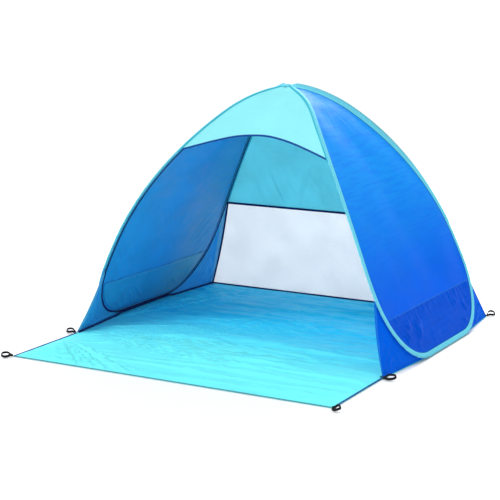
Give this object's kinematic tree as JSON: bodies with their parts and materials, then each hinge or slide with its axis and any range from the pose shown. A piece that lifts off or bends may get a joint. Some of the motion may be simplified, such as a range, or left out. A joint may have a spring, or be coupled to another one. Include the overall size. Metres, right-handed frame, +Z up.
{
  "type": "pop up tent",
  "caption": "Pop-up beach tent: two crossing spring-wire hoops in cloth sleeves carry side panels, an awning and a back wall with a mesh window over a floor with a porch.",
  "frame": {"origin": "on the ground, in the middle of the tent's box", "axes": "+Z up, the doorway faces -Y, +X to the right of someone looking in"},
  "size_m": [1.5992, 1.7332, 1.1],
  "materials": {
    "spring_steel": "satin",
    "ferrule_metal": "satin",
    "sleeve_cloth": "satin",
    "side_cloth": "satin",
    "pocket_cloth": "satin",
    "awning_cloth": "satin",
    "back_cloth": "satin",
    "window_mesh": "matt",
    "floor_cloth": "satin",
    "binding_tape": "matt",
    "webbing": "matt"
  },
  "bodies": {
    "ground_edge_left": {"floor_sheet": "floor_cloth", "floor_rear_tape": "binding_tape", "porch_front_hem": "binding_tape", "floor_side_tape_left": "binding_tape", "porch_side_hem_left": "binding_tape", "peg_loop_front_left": "webbing", "peg_loop_middle_left": "webbing", "peg_loop_rear_left": "webbing"},
    "side_left": {"hoop_wire_front_left": "spring_steel", "hoop_wire_rear_left": "spring_steel", "hoop_ferrule_left": "ferrule_metal", "hoop_sleeve_left": "sleeve_cloth", "side_panel_left": "side_cloth", "side_tape_left": "binding_tape", "side_pocket_left": "pocket_cloth", "front_skirt_left": "side_cloth", "rear_skirt_left": "side_cloth", "crown_tie": "sleeve_cloth", "crown_wire_crossing": "spring_steel", "awning": "awning_cloth", "awning_edge_tape": "binding_tape", "back_wall": "back_cloth", "window_mesh": "window_mesh", "window_top_tape": "binding_tape", "window_side_tape_left": "binding_tape"},
    "side_right": {"hoop_wire_front_right": "spring_steel", "hoop_wire_rear_right": "spring_steel", "hoop_ferrule_right": "ferrule_metal", "hoop_sleeve_right": "sleeve_cloth", "side_panel_right": "side_cloth", "side_tape_right": "binding_tape", "side_pocket_right": "pocket_cloth", "front_skirt_right": "side_cloth", "rear_skirt_right": "side_cloth", "window_side_tape_right": "binding_tape"},
    "ground_edge_right": {"floor_side_tape_right": "binding_tape", "porch_side_hem_right": "binding_tape", "peg_loop_front_right": "webbing", "peg_loop_middle_right": "webbing", "peg_loop_rear_right": "webbing"}
  },
  "joints": [
    {"name": "left_foot_fold", "type": "hinge", "parent": "ground_edge_left", "child": "side_left", "pos_m": [-0.78944, 0.225, 0.008], "axis": [0, -1, 0], "range_deg": [0, 31], "deforming": ["floor_sheet", "floor_rear_tape", "porch_front_hem", "awning", "awning_edge_tape", "back_wall", "window_mesh", "window_top_tape", "window_side_tape_left", "window_side_tape_right", "front_skirt_left", "front_skirt_right", "rear_skirt_left", "rear_skirt_right"]},
    {"name": "crown_fold", "type": "hinge", "parent": "side_left", "child": "side_right", "pos_m": [0, 0.225, 1.086], "axis": [0, 1, 0], "range_deg": [0, 62]},
    {"name": "right_foot_fold", "type": "hinge", "parent": "side_right", "child": "ground_edge_right", "pos_m": [0.78944, 0.225, 0.008], "axis": [0, -1, 0], "range_deg": [0, 31]}
  ],
  "couplings": [
    {"joint": "crown_fold", "follows": "left_foot_fold", "ratio": 2},
    {"joint": "right_foot_fold", "follows": "left_foot_fold", "ratio": 1}
  ]
}
